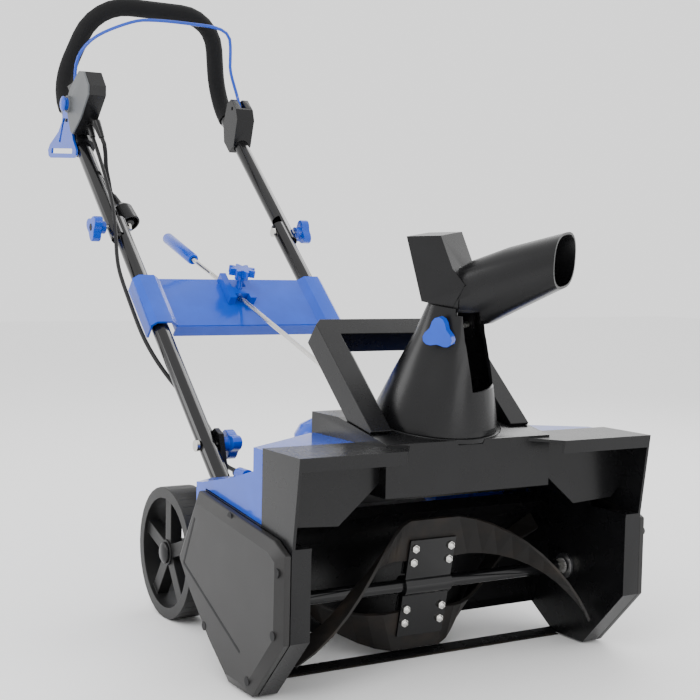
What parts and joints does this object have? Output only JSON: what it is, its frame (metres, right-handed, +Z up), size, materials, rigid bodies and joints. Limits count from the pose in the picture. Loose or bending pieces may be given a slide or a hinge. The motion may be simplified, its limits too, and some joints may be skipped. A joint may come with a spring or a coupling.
{
  "type": "snow blower",
  "caption": "Corded electric single-stage snow thrower with a crank-turned chute, folding tube handle, auger, wheels and bail lever.",
  "frame": {"origin": "centre of the scraper bar's underside, on the ground", "axes": "+X along the auger, away from the side with the belt drive and switch box; -Y the way the intake faces; +Y towards the user; +Z up"},
  "size_m": [0.504, 1.1126, 0.9089],
  "materials": {
    "black_plastic": "moulded, slightly glossy",
    "satin_plastic": "satin, fine grain",
    "blue_plastic": "glossy moulded",
    "blue_wire": "gloss coat",
    "black_paint": "gloss black coat",
    "foam": "closed-cell foam, matt",
    "zinc": "zinc plated",
    "rubber": "worn edges",
    "wheel_plastic": "satin",
    "steel": "bare steel",
    "grey_plastic": "satin light grey",
    "cable": "soft sheath"
  },
  "bodies": {
    "chassis": {"auger_housing": "black_plastic", "left_side_cover": "satin_plastic", "right_side_cover": "satin_plastic", "scraper_bar": "rubber", "motor_cover": "blue_plastic", "cable_gland": "black_plastic", "motor_can": "steel", "drive_belt": "rubber", "left_bearing": "steel", "right_bearing": "steel", "wheel_axle": "zinc", "rear_frame": "black_plastic", "lower_tube_left": "black_paint", "lower_tube_right": "black_paint", "crossbar_panel": "blue_plastic", "crank_bracket": "blue_plastic", "carry_handle": "black_plastic", "lower_bolt_left": "zinc", "lower_bolt_right": "zinc", "upper_bolt_left": "zinc", "upper_bolt_right": "zinc", "motor_cable": "cable"},
    "auger": {"auger_shaft": "black_paint", "upper_paddle": "rubber", "lower_paddle": "rubber", "front_clamp_plate": "black_paint", "rear_clamp_plate_upper": "black_paint", "rear_clamp_plate_lower": "black_paint", "auger_pulley": "black_plastic"},
    "motor_rotor": {"motor_pulley": "steel"},
    "idler": {"idler_pulley": "steel"},
    "wheel_left": {"left_wheel": "wheel_plastic", "left_hub_cap": "black_plastic"},
    "wheel_right": {"right_wheel": "wheel_plastic", "right_hub_cap": "black_plastic"},
    "chute": {"chute_ring": "black_plastic", "chute_barrel": "black_plastic", "deflector_bolt": "zinc"},
    "deflector_head": {"deflector": "black_plastic"},
    "deflector_clamp": {"deflector_knob": "blue_plastic"},
    "crank": {"crank_rod": "zinc"},
    "crank_handle": {"crank_grip": "blue_plastic"},
    "rod_clamp": {"crossbar_knob": "blue_plastic"},
    "handle": {"upper_handle": "black_paint", "foam_grip": "foam", "switch_box": "black_plastic", "switch_plate": "grey_plastic", "bail_bracket": "black_plastic", "pigtail_relief": "black_plastic", "cable_relief": "black_plastic", "pigtail_cord": "cable", "inlet_plug": "black_plastic"},
    "bail": {"bail_lever": "blue_wire"},
    "button": {"safety_button": "blue_plastic"},
    "hook": {"cord_hook": "blue_plastic"},
    "knob_upper_left": {"upper_knob_left": "blue_plastic"},
    "knob_upper_right": {"upper_knob_right": "blue_plastic"},
    "knob_lower_left": {"lower_knob_left": "blue_plastic"},
    "knob_lower_right": {"lower_knob_right": "blue_plastic"}
  },
  "joints": [
    {"name": "auger_spin", "type": "hinge", "parent": "chassis", "child": "auger", "pos_m": [0, -0.015, 0.092], "axis": [1, 0, 0], "continuous": true},
    {"name": "motor_spin", "type": "hinge", "parent": "chassis", "child": "motor_rotor", "pos_m": [0, 0.098, 0.16], "axis": [1, 0, 0], "continuous": true},
    {"name": "idler_spin", "type": "hinge", "parent": "chassis", "child": "idler", "pos_m": [-0.228, 0.04283, 0.16895], "axis": [1, 0, 0], "continuous": true},
    {"name": "wheel_left_spin", "type": "hinge", "parent": "chassis", "child": "wheel_left", "pos_m": [-0.182, 0.298, 0.0865], "axis": [1, 0, 0], "continuous": true},
    {"name": "wheel_right_spin", "type": "hinge", "parent": "chassis", "child": "wheel_right", "pos_m": [0.182, 0.298, 0.0865], "axis": [1, 0, 0], "continuous": true},
    {"name": "chute_turn", "type": "hinge", "parent": "chassis", "child": "chute", "pos_m": [0, -0.029, 0.289], "axis": [0, -0.165, 0.9863], "range_deg": [-124, 56]},
    {"name": "crank_turn", "type": "hinge", "parent": "chassis", "child": "crank", "pos_m": [0, 0.507, 0.418], "axis": [0, 0.9511, 0.309], "range_deg": [-1000, 450]},
    {"name": "crank_grip_spin", "type": "hinge", "parent": "crank", "child": "crank_handle", "pos_m": [-0.03, 0.60068, 0.46947], "axis": [0, 0.9511, 0.309], "continuous": true},
    {"name": "deflector_tilt", "type": "hinge", "parent": "chute", "child": "deflector_head", "pos_m": [0.00839, -0.06018, 0.39998], "axis": [0.829, 0.5515, 0.0923], "range_deg": [0, 35]},
    {"name": "deflector_knob_turn", "type": "hinge", "parent": "chute", "child": "deflector_clamp", "pos_m": [0.00839, -0.06018, 0.39998], "axis": [-0.829, -0.5515, -0.0923], "continuous": true},
    {"name": "rod_clamp_turn", "type": "hinge", "parent": "chassis", "child": "rod_clamp", "pos_m": [0, 0.507, 0.418], "axis": [0, -0.309, 0.9511], "continuous": true},
    {"name": "handle_fold", "type": "hinge", "parent": "chassis", "child": "handle", "pos_m": [0, 0.6382, 0.518], "axis": [1, 0, 0], "range_deg": [0, 125], "deforming": ["motor_cable"]},
    {"name": "upper_knob_left_turn", "type": "hinge", "parent": "chassis", "child": "knob_upper_left", "pos_m": [-0.172, 0.6382, 0.518], "axis": [-1, 0, 0], "continuous": true},
    {"name": "upper_knob_right_turn", "type": "hinge", "parent": "chassis", "child": "knob_upper_right", "pos_m": [0.172, 0.6382, 0.518], "axis": [1, 0, 0], "continuous": true},
    {"name": "lower_knob_left_turn", "type": "hinge", "parent": "chassis", "child": "knob_lower_left", "pos_m": [-0.11, 0.30529, 0.2245], "axis": [1, 0, 0], "continuous": true},
    {"name": "lower_knob_right_turn", "type": "hinge", "parent": "chassis", "child": "knob_lower_right", "pos_m": [0.11, 0.30529, 0.2245], "axis": [-1, 0, 0], "continuous": true},
    {"name": "bail_squeeze", "type": "hinge", "parent": "handle", "child": "bail", "pos_m": [0, 0.813, 0.735], "axis": [-1, 0, 0], "range_deg": [0, 17], "stiffness_Nm_per_rad": 1.5, "springref_deg": -8.59},
    {"name": "button_press", "type": "slide", "parent": "handle", "child": "button", "axis": [1, 0, 0], "range_m": [0, 0.004], "stiffness_N_per_m": 400, "springref_m": -0.002},
    {"name": "hook_swing", "type": "hinge", "parent": "handle", "child": "hook", "pos_m": [-0.162, 0.81542, 0.72224], "axis": [1, 0, 0], "range_deg": [0, 35]}
  ],
  "couplings": [
    {"joint": "motor_spin", "follows": "auger_spin", "ratio": 4.7368},
    {"joint": "idler_spin", "follows": "auger_spin", "ratio": -4.5},
    {"joint": "crank_turn", "follows": "chute_turn", "ratio": 8}
  ]
}
